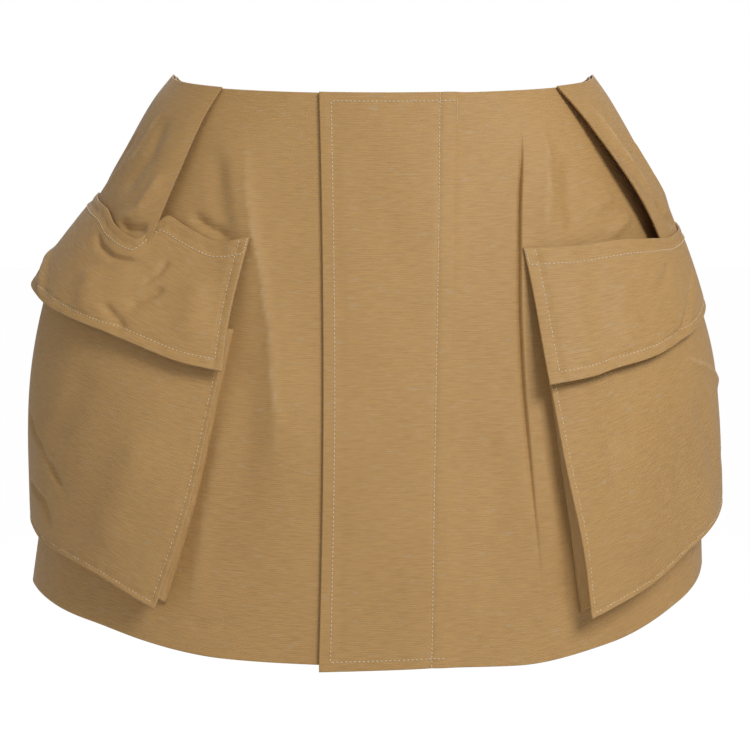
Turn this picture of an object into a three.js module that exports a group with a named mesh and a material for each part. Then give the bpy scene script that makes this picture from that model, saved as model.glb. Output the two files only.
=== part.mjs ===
// A cargo mini skirt in stiff twill, standing open as if it were worn, with nobody in it.
// Millimetres. +Z is up, the front faces -Y and the wearer's right is -X.
// The origin is the middle of the waist opening, where a wearer holds the skirt up.
//
// The skirt's surface is a stack of rounded rings, from the waist at level 0 to the hem at level 1.
// An angle of 0 is the centre front and a positive angle is towards the wearer's left.
// Every piece is a wall of cloth whose points are skirt points moved out by a lift.

import * as THREE from 'three';

// ---- Driving dimensions ----------------------------------------------------------------------

const CLOTH = 1.5;            // thickness of one layer of cloth
const SEAM_HALF_GAP = 0.08;   // degrees left free on each side of a side seam
const SIDE_SEAM = 100;        // angle of the side seams, just behind the hips
const ROUNDNESS = 2.25;       // 2 is an ellipse, more is squarer at the corners

const WAIST = { side: 1.0, frontDip: 10.6, backDip: 12.6, dipShape: 0.9 };

// The hem's height all the way round; it hangs lowest at the centre front.
const HEM = [
  { angle: -180, z: -344 },
  { angle: -110, z: -326 },
  { angle: -80, z: -324 },
  { angle: -50, z: -333 },
  { angle: -25, z: -347 },
  { angle: 0, z: -350 },
  { angle: 22, z: -351 },
  { angle: 40, z: -342 },
  { angle: 60, z: -325 },
  { angle: 80, z: -311 },
  { angle: 110, z: -313 },
  { angle: 180, z: -344 },
];

// Half widths towards the wearer's right and left, half depths to the front and back.
const RINGS = [
  { level: 0.00, right: 134, left: 131, front: 95, back: 92 },
  { level: 0.05, right: 145, left: 141, front: 99, back: 97 },
  { level: 0.15, right: 161, left: 157, front: 108, back: 106 },
  { level: 0.30, right: 185, left: 179, front: 120, back: 120 },
  { level: 0.45, right: 203, left: 191, front: 131, back: 131 },
  { level: 0.60, right: 213, left: 199, front: 140, back: 140 },
  { level: 0.80, right: 220, left: 203, front: 147, back: 146 },
  { level: 1.00, right: 229, left: 206, front: 151, back: 150 },
];

// Soft folds that fall from the waist pleats: each runs from one angle at the waist to another.
const FOLDS = [
  { top: -43, end: -16, fade: 0.75, width: 6, depth: 3.5 },
  { top: 36, end: 26, fade: 0.95, width: 5, depth: 4.0 },
  { top: 222, end: 204, fade: 0.90, width: 7, depth: 3.5 },
  { top: 140, end: 158, fade: 0.85, width: 6, depth: 3.0 },
];

// The fly: the left front laps over the right one and hides its fastening.
const FLY = {
  edge: -40, edgeBow: 3,      // the free edge, and how far its middle bows inwards
  facing: 30, facingEnd: 45,  // where the lap starts to sink back, and where it is flush
  lift: 2.4,
  cornerDrop: 0.012,          // the free corner hangs this many levels below the hem
  underlap: 22,               // how far the right front runs on beneath
};

// Hip pleats: the side cloth is folded forward over the front, from the waist to the flap.
// Rows run from the fold's edge back to the side seam, `belly` is extra lift halfway down.
const PLEATS = {
  right: [
    { topAngle: 45.5, topLift: 2.4, lowAngle: 48.5, lowLevel: 0.345, lowLift: 5.5, belly: 2.0 },
    { topAngle: 58, topLift: 2.4, lowAngle: 60, lowLevel: 0.340, lowLift: 8.5, belly: 2.0 },
    { topAngle: 78, topLift: 2.4, lowAngle: 80, lowLevel: 0.330, lowLift: 9.0, belly: 1.5 },
    { topAngle: 99.9, topLift: 2.4, lowAngle: 99.9, lowLevel: 0.320, lowLift: 5.0, belly: 0.5 },
  ],
  left: [
    { topAngle: 50.5, topLift: 2.4, lowAngle: 64, lowLevel: 0.350, lowLift: 8.0, belly: 4.0 },
    { topAngle: 62, topLift: 2.4, lowAngle: 72, lowLevel: 0.345, lowLift: 8.5, belly: 2.5 },
    { topAngle: 80, topLift: 2.4, lowAngle: 86, lowLevel: 0.340, lowLift: 7.0, belly: 1.5 },
    { topAngle: 99.9, topLift: 2.4, lowAngle: 99.9, lowLevel: 0.330, lowLift: 5.0, belly: 0.5 },
  ],
};

// Pocket faces, standing off the skirt. Rows run from the front edge back round the hip.
// `bow` turns the middle of the row towards the front, in degrees.
const POCKETS = {
  right: [
    { topAngle: 26, topLevel: 0.42, topLift: 9, lowAngle: 34.5, lowLevel: 0.925, lowLift: 17, belly: 0, bow: 1 },
    { topAngle: 40, topLevel: 0.41, topLift: 11, lowAngle: 47, lowLevel: 0.895, lowLift: 16, belly: 2, bow: 0 },
    { topAngle: 60, topLevel: 0.39, topLift: 15, lowAngle: 62, lowLevel: 0.880, lowLift: 12, belly: 3, bow: 0 },
    { topAngle: 80, topLevel: 0.39, topLift: 17, lowAngle: 80, lowLevel: 0.870, lowLift: 7, belly: 4, bow: 0 },
    { topAngle: 97, topLevel: 0.39, topLift: 12, lowAngle: 97, lowLevel: 0.865, lowLift: 7, belly: 1, bow: 0 },
  ],
  left: [
    { topAngle: 28, topLevel: 0.42, topLift: 9, lowAngle: 33.5, lowLevel: 0.930, lowLift: 17, belly: 0, bow: 1 },
    { topAngle: 40, topLevel: 0.41, topLift: 11, lowAngle: 44, lowLevel: 0.910, lowLift: 17, belly: 1, bow: 0 },
    { topAngle: 55, topLevel: 0.40, topLift: 12, lowAngle: 57, lowLevel: 0.885, lowLift: 16, belly: 2, bow: 0 },
    { topAngle: 75, topLevel: 0.39, topLift: 8, lowAngle: 75, lowLevel: 0.870, lowLift: 14, belly: 4, bow: 0 },
    { topAngle: 94, topLevel: 0.39, topLift: 6, lowAngle: 94, lowLevel: 0.865, lowLift: 12, belly: 3, bow: 0 },
  ],
};

// Pocket flaps, sewn down along the top and flaring out over the pocket mouth.
const FLAPS = {
  right: [
    { topAngle: 26, topLevel: 0.265, topLift: 4, lowAngle: 25, lowLevel: 0.500, lowLift: 18 },
    { topAngle: 34, topLevel: 0.290, topLift: 6, lowAngle: 34, lowLevel: 0.495, lowLift: 20 },
    { topAngle: 43, topLevel: 0.325, topLift: 9, lowAngle: 43, lowLevel: 0.475, lowLift: 22 },
    { topAngle: 52, topLevel: 0.315, topLift: 12, lowAngle: 51, lowLevel: 0.455, lowLift: 24 },
    { topAngle: 70, topLevel: 0.270, topLift: 13, lowAngle: 66, lowLevel: 0.435, lowLift: 28 },
    { topAngle: 84, topLevel: 0.255, topLift: 13, lowAngle: 82, lowLevel: 0.415, lowLift: 28 },
    { topAngle: 96, topLevel: 0.250, topLift: 11, lowAngle: 96, lowLevel: 0.405, lowLift: 22 },
  ],
  left: [
    { topAngle: 27, topLevel: 0.275, topLift: 4, lowAngle: 27, lowLevel: 0.530, lowLift: 18 },
    { topAngle: 38, topLevel: 0.285, topLift: 6, lowAngle: 36, lowLevel: 0.520, lowLift: 20 },
    { topAngle: 48, topLevel: 0.295, topLift: 9, lowAngle: 48, lowLevel: 0.510, lowLift: 21 },
    { topAngle: 61, topLevel: 0.325, topLift: 12, lowAngle: 58, lowLevel: 0.490, lowLift: 20 },
    { topAngle: 77, topLevel: 0.330, topLift: 11.5, lowAngle: 76, lowLevel: 0.465, lowLift: 13 },
    { topAngle: 94, topLevel: 0.320, topLift: 10, lowAngle: 94, lowLevel: 0.455, lowLift: 11 },
  ],
};

const GUSSET_CLEARANCE = 0.5; // from the gusset to the skirt and to the pocket face

// ---- The skirt's surface ---------------------------------------------------------------------

const { lerp, clamp, smoothstep } = THREE.MathUtils;

// A cubic through one column of a table, read at any position of its key column.
function tableCurve(rows, key, column) {
  const positions = rows.map((row) => row[key]);
  const values = rows.map((row) => row[column]);
  const cubic = new THREE.CubicInterpolant(positions, values, 1, new Float64Array(1));
  return (position) => {
    const inside = clamp(position, positions[0], positions[positions.length - 1]);
    return cubic.evaluate(inside)[0];
  };
}

const ringRight = tableCurve(RINGS, 'level', 'right');
const ringLeft = tableCurve(RINGS, 'level', 'left');
const ringFront = tableCurve(RINGS, 'level', 'front');
const ringBack = tableCurve(RINGS, 'level', 'back');
const hemHeight = tableCurve(HEM, 'angle', 'z');

// How far the soft folds raise the surface here.
function foldRelief(angle, level) {
  let relief = 0;
  for (const fold of FOLDS) {
    const remaining = Math.max(0, 1 - level / fold.fade);
    const centre = lerp(fold.end, fold.top, remaining * remaining);
    const turns = Math.round((angle - centre) / 360);
    const across = (angle - centre - turns * 360) / fold.width;
    const along = smoothstep(level, 0.02, 0.2) * (1 - smoothstep(level, fold.fade - 0.2, fold.fade));
    relief += fold.depth * Math.exp(-across * across) * along;
  }
  return relief;
}

function ringPoint(angle, level) {
  const sine = Math.sin(THREE.MathUtils.degToRad(angle));
  const cosine = Math.cos(THREE.MathUtils.degToRad(angle));
  const halfWidth = sine < 0 ? ringRight(level) : ringLeft(level);
  const halfDepth = cosine > 0 ? ringFront(level) : ringBack(level);
  const sum = Math.abs(sine) ** ROUNDNESS + Math.abs(cosine) ** ROUNDNESS;
  const reach = sum ** (-1 / ROUNDNESS);
  const relief = foldRelief(angle, level);
  const waistDip = cosine > 0 ? WAIST.frontDip : WAIST.backDip;
  const waistZ = WAIST.side - waistDip * Math.abs(cosine) ** WAIST.dipShape;
  const hemZ = hemHeight(angle > 180 ? angle - 360 : angle);
  return new THREE.Vector3(
    (halfWidth * reach + relief) * sine,
    -(halfDepth * reach + relief) * cosine,
    waistZ + (hemZ - waistZ) * level,
  );
}

const ANGLE_STEP = 0.5;
const LEVEL_STEP = 0.005;

function skirtNormal(angle, level) {
  const middle = clamp(level, LEVEL_STEP, 1 - LEVEL_STEP);
  const across = ringPoint(angle + ANGLE_STEP, middle).sub(ringPoint(angle - ANGLE_STEP, middle));
  const down = ringPoint(angle, middle + LEVEL_STEP).sub(ringPoint(angle, middle - LEVEL_STEP));
  return down.cross(across).normalize();
}

function skirtPoint(angle, level, lift) {
  return ringPoint(angle, level).addScaledVector(skirtNormal(angle, level), lift);
}

// The angle at which the front of the ring at this level has the given x.
function frontAngleAtX(x, level) {
  const halfWidth = x < 0 ? ringRight(level) : ringLeft(level);
  const share = Math.abs(x / halfWidth) ** ROUNDNESS;
  const tangent = (share / (1 - share)) ** (1 / ROUNDNESS);
  return Math.sign(x) * THREE.MathUtils.radToDeg(Math.atan(tangent));
}

// ---- Walls of cloth --------------------------------------------------------------------------

// Closes two grids of points, an outer and an inner one, round their rim.
// Columns run towards larger angles and rows run down.
function wallGeometry(columns, rows, pointAt) {
  const positions = [];
  for (const isInner of [false, true]) {
    for (let row = 0; row <= rows; row += 1) {
      for (let column = 0; column <= columns; column += 1) {
        positions.push(...pointAt(column / columns, row / rows, isInner).toArray());
      }
    }
  }
  const layer = (columns + 1) * (rows + 1);
  const at = (column, row) => row * (columns + 1) + column;
  const triangles = [];
  for (let row = 0; row < rows; row += 1) {
    for (let column = 0; column < columns; column += 1) {
      const a = at(column, row);
      const b = at(column + 1, row);
      const c = at(column, row + 1);
      const d = at(column + 1, row + 1);
      triangles.push(a, c, b, b, c, d);
      triangles.push(layer + a, layer + b, layer + c, layer + b, layer + d, layer + c);
    }
  }
  const rim = [];
  for (let row = 0; row < rows; row += 1) rim.push(at(0, row));
  for (let column = 0; column < columns; column += 1) rim.push(at(column, rows));
  for (let row = rows; row > 0; row -= 1) rim.push(at(columns, row));
  for (let column = columns; column > 0; column -= 1) rim.push(at(column, 0));
  rim.forEach((here, index) => {
    const next = rim[(index + 1) % rim.length];
    triangles.push(next, here, layer + here, next, layer + here, layer + next);
  });
  return solidGeometry(positions, triangles);
}

function solidGeometry(positions, triangles) {
  const geometry = new THREE.BufferGeometry();
  geometry.setAttribute('position', new THREE.Float32BufferAttribute(positions, 3));
  geometry.setIndex(triangles);
  geometry.computeVertexNormals();
  return geometry;
}

// A wall whose outer face is at placeAt(u, v) = { angle, level, lift }.
function clothWall(columns, rows, placeAt) {
  return wallGeometry(columns, rows, (u, v, isInner) => {
    const place = placeAt(u, v);
    return skirtPoint(place.angle, place.level, place.lift - (isInner ? CLOTH : 0));
  });
}

// ---- Panels ----------------------------------------------------------------------------------

function flyEdgeX(level) {
  return FLY.edge + FLY.edgeBow * Math.sin(Math.PI * clamp(level, 0, 1));
}

const FLY_COLUMNS = 0.35;     // share of a front's columns that lie in the fly

function frontRightPlace(u, v) {
  const sideShare = 1 - FLY_COLUMNS;
  const turn = frontAngleAtX(flyEdgeX(v) - 8, v);
  if (u <= sideShare) {
    return { angle: lerp(-SIDE_SEAM + SEAM_HALF_GAP, turn, u / sideShare), level: v, lift: 0 };
  }
  const x = lerp(flyEdgeX(v) - 8, FLY.underlap, (u - sideShare) / FLY_COLUMNS);
  return { angle: frontAngleAtX(x, v), level: v, lift: 0 };
}

function frontLeftPlace(u, v) {
  if (u <= FLY_COLUMNS) {
    const across = u / FLY_COLUMNS;
    const x = lerp(flyEdgeX(v), FLY.facingEnd, across);
    const lift = FLY.lift * (1 - smoothstep(x, FLY.facing, FLY.facingEnd));
    const level = v * (1 + FLY.cornerDrop * (1 - across));
    return { angle: frontAngleAtX(x, v), level, lift };
  }
  const turn = frontAngleAtX(FLY.facingEnd, v);
  const across = (u - FLY_COLUMNS) / (1 - FLY_COLUMNS);
  return { angle: lerp(turn, SIDE_SEAM - SEAM_HALF_GAP, across), level: v, lift: 0 };
}

function backPlace(u, v) {
  const start = SIDE_SEAM + SEAM_HALF_GAP;
  return { angle: lerp(start, 360 - start, u), level: v, lift: 0 };
}

// ---- Pleats, pockets and flaps ---------------------------------------------------------------

// Reads a table of rows that run round the hip. `side` is -1 on the wearer's right.
// The place at (u, v) is u of the way round and v of the way down.
function patchPlace(rows, side) {
  const numbered = rows.map((row, index) => ({ topLevel: 0, belly: 0, bow: 0, ...row, index }));
  const curves = {};
  for (const column of Object.keys(numbered[0])) {
    curves[column] = tableCurve(numbered, 'index', column);
  }
  return (u, v) => {
    const index = (side < 0 ? 1 - u : u) * (rows.length - 1);
    const middle = Math.sin(Math.PI * v);
    const turn = lerp(curves.topAngle(index), curves.lowAngle(index), v);
    return {
      angle: side * (turn - curves.bow(index) * middle),
      level: lerp(curves.topLevel(index), curves.lowLevel(index), v),
      lift: lerp(curves.topLift(index), curves.lowLift(index), v) + curves.belly(index) * middle,
    };
  };
}

// The gusset is a strip round the front, bottom and rear of a pocket face, from the skirt out to it.
function gussetGeometry(rows, side) {
  const place = patchPlace(rows, side);
  const width = 190;
  const height = 175;
  const insetU = CLOTH / width;
  const insetV = CLOTH / height;
  const sideSteps = 10;
  const bottomSteps = 14;
  const path = [];
  for (let step = 0; step < sideSteps; step += 1) {
    path.push({ u: 0, v: step / sideSteps, inU: insetU, inV: 0 });
  }
  path.push({ u: 0, v: 1, inU: insetU, inV: -insetV });
  for (let step = 1; step < bottomSteps; step += 1) {
    path.push({ u: step / bottomSteps, v: 1, inU: 0, inV: -insetV });
  }
  path.push({ u: 1, v: 1, inU: -insetU, inV: -insetV });
  for (let step = sideSteps - 1; step >= 0; step -= 1) {
    path.push({ u: 1, v: step / sideSteps, inU: -insetU, inV: 0 });
  }

  const corner = (u, v, atFace) => {
    const there = place(u, v);
    const top = there.lift - CLOTH - GUSSET_CLEARANCE;
    return skirtPoint(there.angle, there.level, atFace ? top : GUSSET_CLEARANCE);
  };
  const positions = [];
  for (const stop of path) {
    const inner = [stop.u + stop.inU, stop.v + stop.inV];
    const section = [
      corner(stop.u, stop.v, false),
      corner(stop.u, stop.v, true),
      corner(...inner, true),
      corner(...inner, false),
    ];
    section.forEach((point) => positions.push(...point.toArray()));
  }
  const triangles = [];
  for (let stop = 0; stop < path.length - 1; stop += 1) {
    for (let edge = 0; edge < 4; edge += 1) {
      const a = stop * 4 + edge;
      const b = stop * 4 + ((edge + 1) % 4);
      triangles.push(a, a + 4, b, b, a + 4, b + 4);
    }
  }
  const last = (path.length - 1) * 4;
  triangles.push(0, 1, 2, 0, 2, 3);
  triangles.push(last, last + 2, last + 1, last, last + 3, last + 2);
  return solidGeometry(positions, triangles);
}

// ---- The skirt -------------------------------------------------------------------------------

const COLOURS = { front: 0xb08b5b, side: 0xa58154, back: 0xa88557, pocket: 0x9c784c, flap: 0xaa8655 };

function clothMesh(name, geometry, colour) {
  const material = new THREE.MeshStandardMaterial({ color: colour, roughness: 0.8, metalness: 0 });
  const mesh = new THREE.Mesh(geometry, material);
  mesh.name = name;
  return mesh;
}

const skirt = new THREE.Group();
skirt.add(clothMesh('front_right', clothWall(24, 16, frontRightPlace), COLOURS.front));
skirt.add(clothMesh('front_left', clothWall(24, 16, frontLeftPlace), COLOURS.front));
skirt.add(clothMesh('back', clothWall(30, 14, backPlace), COLOURS.back));

for (const [name, side] of [['right', -1], ['left', 1]]) {
  const pleat = clothWall(12, 8, patchPlace(PLEATS[name], side));
  const pocket = clothWall(14, 9, patchPlace(POCKETS[name], side));
  const flap = clothWall(16, 5, patchPlace(FLAPS[name], side));
  skirt.add(clothMesh(`hip_pleat_${name}`, pleat, COLOURS.side));
  skirt.add(clothMesh(`pocket_face_${name}`, pocket, COLOURS.pocket));
  skirt.add(clothMesh(`pocket_gusset_${name}`, gussetGeometry(POCKETS[name], side), COLOURS.pocket));
  skirt.add(clothMesh(`pocket_flap_${name}`, flap, COLOURS.flap));
}

export default skirt;
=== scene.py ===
"""The looks of a cargo mini skirt in stiff twill, standing open as if worn.

Sizes are in millimetres until a mesh is made. An angle of 0 is the centre front, a positive angle is
towards the wearer's left, and a level runs from 0 at the waist to 1 at the hem. Each piece is a shell
whose points are points of the skirt's surface moved out by a lift.
"""

import math

import bpy
import numpy as np
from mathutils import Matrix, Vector


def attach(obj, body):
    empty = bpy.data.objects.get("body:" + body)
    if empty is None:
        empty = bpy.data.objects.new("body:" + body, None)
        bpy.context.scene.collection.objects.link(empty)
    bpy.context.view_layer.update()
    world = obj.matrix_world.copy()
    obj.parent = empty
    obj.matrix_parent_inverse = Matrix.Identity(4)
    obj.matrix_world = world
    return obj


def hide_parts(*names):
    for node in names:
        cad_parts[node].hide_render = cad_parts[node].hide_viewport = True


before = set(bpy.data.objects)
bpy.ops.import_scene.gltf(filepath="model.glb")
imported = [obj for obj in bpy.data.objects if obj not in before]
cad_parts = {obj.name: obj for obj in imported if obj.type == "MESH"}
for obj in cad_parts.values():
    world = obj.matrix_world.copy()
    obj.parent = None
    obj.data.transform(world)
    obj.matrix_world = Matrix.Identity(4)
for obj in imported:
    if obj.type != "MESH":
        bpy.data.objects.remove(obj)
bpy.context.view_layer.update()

MM = 0.001
BODY = "root"

# ---- Sizes of the skirt's surface --------------------------------------------------------------

CLOTH = 1.3          # wall thickness of one layer
FLAP_CLOTH = 1.5
GUSSET_CLOTH = 1.0
ROUNDNESS = 2.25     # 2 is an ellipse, more is squarer at the corners
SIDE_SEAM = 100.0    # angle of the side seams
MM_PER_DEGREE = 2.35  # along the cloth, near the middle of the skirt
LENGTH = 345.0       # from waist to hem

WAIST = {"side": 1.0, "front_dip": 10.6, "back_dip": 12.6, "dip_shape": 0.9}

HEM = [
    {"angle": -180, "z": -344},
    {"angle": -110, "z": -326},
    {"angle": -80, "z": -324},
    {"angle": -50, "z": -333},
    {"angle": -25, "z": -347},
    {"angle": 0, "z": -350},
    {"angle": 22, "z": -351},
    {"angle": 40, "z": -342},
    {"angle": 60, "z": -325},
    {"angle": 80, "z": -311},
    {"angle": 110, "z": -313},
    {"angle": 180, "z": -344},
]

RINGS = [
    {"level": 0.00, "right": 134, "left": 131, "front": 95, "back": 92},
    {"level": 0.05, "right": 145, "left": 141, "front": 99, "back": 97},
    {"level": 0.15, "right": 161, "left": 157, "front": 108, "back": 106},
    {"level": 0.30, "right": 185, "left": 179, "front": 120, "back": 120},
    {"level": 0.45, "right": 203, "left": 191, "front": 131, "back": 131},
    {"level": 0.60, "right": 213, "left": 199, "front": 140, "back": 140},
    {"level": 0.80, "right": 220, "left": 203, "front": 147, "back": 146},
    {"level": 1.00, "right": 229, "left": 206, "front": 151, "back": 150},
]

# Soft folds that fall from the waist pleats.
FOLDS = [
    {"top": -43, "end": -16, "fade": 0.75, "width": 5, "depth": 3.5},
    {"top": 38, "end": 30, "fade": 0.95, "width": 5, "depth": 3.5},
    {"top": 222, "end": 204, "fade": 0.90, "width": 7, "depth": 3.5},
    {"top": 140, "end": 158, "fade": 0.85, "width": 6, "depth": 3.0},
]

# Slow waves in the cloth, different all round. They rise from nothing at the waist.
WAVES = [
    {"around": 7.0, "down": 5.0, "phase": 0.4, "height": 0.45},
    {"around": 11.0, "down": -8.0, "phase": 1.9, "height": 0.30},
    {"around": 4.0, "down": 13.0, "phase": 2.7, "height": 0.28},
    {"around": 17.0, "down": 3.0, "phase": 4.1, "height": 0.22},
    {"around": -23.0, "down": 16.0, "phase": 0.9, "height": 0.12},
]
WAVES_FULL_AT = 0.12   # level

# An edge, stitch or ridge is the x of that line on the front of the skirt, at the waist or the hem.
FLY = {
    "edge": -40.0, "edge_bow": 3.0,
    "stitch_top": 32.5, "stitch_low": 27.0,
    "ridge_top": 42.0, "ridge_low": 35.0,
    "lift": 2.5, "corner_drop": 0.012, "underlap": 22.0,
}

# The tuck beside the wearer's left pocket: its edge's angle down the front.
TUCK = [
    {"level": 0.00, "angle": 37.0},
    {"level": 0.07, "angle": 33.5},
    {"level": 0.28, "angle": 26.5},
    {"level": 0.40, "angle": 25.0},
    {"level": 0.54, "angle": 24.5},
    {"level": 0.68, "angle": 25.0},
    {"level": 0.93, "angle": 27.0},
    {"level": 1.00, "angle": 27.5},
]

# The cloth rises just past the tuck's edge and falls away over its "fall". A groove runs before it.
TUCK_STEP = {
    "height": 1.6, "fall": 16.0, "rise_from": -0.3, "rise_to": 0.6,
    "groove": 2.2, "groove_at": -0.6, "groove_width": 0.7,
    "start": 0.06, "full_after": 0.12, "end": 0.92, "fading_before": 0.45,
}

# The facing shows as a low ridge, and the cloth dips along both rows of stitches.
FLY_RELIEF = {
    "ridge": 0.35, "ridge_width": 1.6,
    "row_dip": 0.35, "edge_row_dip": 0.3, "dip_width": 1.2, "edge_row_inset": 7.0,
}

# The steps of angle and level over which the surface's normal is measured.
NORMAL_STEP = {"angle": 0.5, "level": 0.005}


# ---- Reading tables ----------------------------------------------------------------------------

def table(columns, rows):
    """Rows of numbers as dictionaries, under the names of their columns."""
    names = columns.split()
    return [dict(zip(names, row)) for row in rows]


def smoothstep(x, low, high):
    t = np.clip((x - low) / (high - low), 0, 1)
    return t * t * (3 - 2 * t)


def lerp(a, b, t):
    return a + (b - a) * t


def table_curve(rows, key, column):
    """A smooth curve through one column of a table, without overshoot."""
    places = np.array([row[key] for row in rows], float)
    values = np.array([row[column] for row in rows], float)
    steps = np.diff(places)
    slopes = np.diff(values) / steps
    tangents = np.zeros_like(values)
    same_sign = slopes[:-1] * slopes[1:] > 0
    inner = np.zeros_like(slopes[:-1])
    product = 2 * slopes[:-1] * slopes[1:]
    inner[same_sign] = product[same_sign] / (slopes[:-1] + slopes[1:])[same_sign]
    tangents[1:-1] = inner
    tangents[0] = slopes[0]
    tangents[-1] = slopes[-1]

    def curve(x):
        x = np.clip(x, places[0], places[-1])
        i = np.clip(np.searchsorted(places, x) - 1, 0, len(steps) - 1)
        t = (x - places[i]) / steps[i]
        low = (1 + 2 * t) * (1 - t) ** 2 * values[i] + t * (1 - t) ** 2 * steps[i] * tangents[i]
        high = t * t * (3 - 2 * t) * values[i + 1] + t * t * (t - 1) * steps[i] * tangents[i + 1]
        return low + high

    return curve


ring = {side: table_curve(RINGS, "level", side) for side in ("right", "left", "front", "back")}
hem_height = table_curve(HEM, "angle", "z")
tuck_angle = table_curve(TUCK, "level", "angle")


# ---- The skirt's surface -----------------------------------------------------------------------

def fold_relief(angle, level):
    relief = 0.0
    for fold in FOLDS:
        remaining = np.maximum(0, 1 - level / fold["fade"])
        centre = lerp(fold["end"], fold["top"], remaining ** 2)
        turned = (angle - centre + 180) % 360 - 180
        across = turned / fold["width"]
        along = smoothstep(level, 0.02, 0.2) * (1 - smoothstep(level, fold["fade"] - 0.2, fold["fade"]))
        relief = relief + fold["depth"] * np.exp(-across ** 2) * along
    return relief


def unevenness(angle, level):
    total = 0.0
    for wave in WAVES:
        turn = np.radians(angle) * wave["around"] + level * wave["down"] + wave["phase"]
        total = total + wave["height"] * np.sin(turn)
    return total * smoothstep(level, 0.0, WAVES_FULL_AT)


def ring_point(angle, level):
    turn = np.radians(angle)
    sine = np.sin(turn)
    cosine = np.cos(turn)
    half_width = np.where(sine < 0, ring["right"](level), ring["left"](level))
    half_depth = np.where(cosine > 0, ring["front"](level), ring["back"](level))
    reach = (np.abs(sine) ** ROUNDNESS + np.abs(cosine) ** ROUNDNESS) ** (-1 / ROUNDNESS)
    relief = fold_relief(angle, level) + unevenness(angle, level)
    dip = np.where(cosine > 0, WAIST["front_dip"], WAIST["back_dip"])
    waist_z = WAIST["side"] - dip * np.abs(cosine) ** WAIST["dip_shape"]
    hem_z = hem_height((angle + 180) % 360 - 180)
    x = (half_width * reach + relief) * sine
    y = -(half_depth * reach + relief) * cosine
    return np.stack([x, y, lerp(waist_z, hem_z, level)], axis=-1)


def skirt_point(angle, level, lift):
    angle, level, lift = np.broadcast_arrays(angle, level, lift)
    turn = NORMAL_STEP["angle"]
    drop = NORMAL_STEP["level"]
    middle = np.clip(level, drop, 1 - drop)
    across = ring_point(angle + turn, middle) - ring_point(angle - turn, middle)
    down = ring_point(angle, middle + drop) - ring_point(angle, middle - drop)
    normal = np.cross(down, across)
    normal = normal / np.linalg.norm(normal, axis=-1, keepdims=True)
    return ring_point(angle, level) + normal * lift[..., None]


def angle_at_x(x, level):
    half_width = np.where(x < 0, ring["right"](level), ring["left"](level))
    share = np.clip(np.abs(x / half_width), 0, 0.999) ** ROUNDNESS
    return np.sign(x) * np.degrees(np.arctan((share / (1 - share)) ** (1 / ROUNDNESS)))


# ---- Creases -----------------------------------------------------------------------------------

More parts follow.
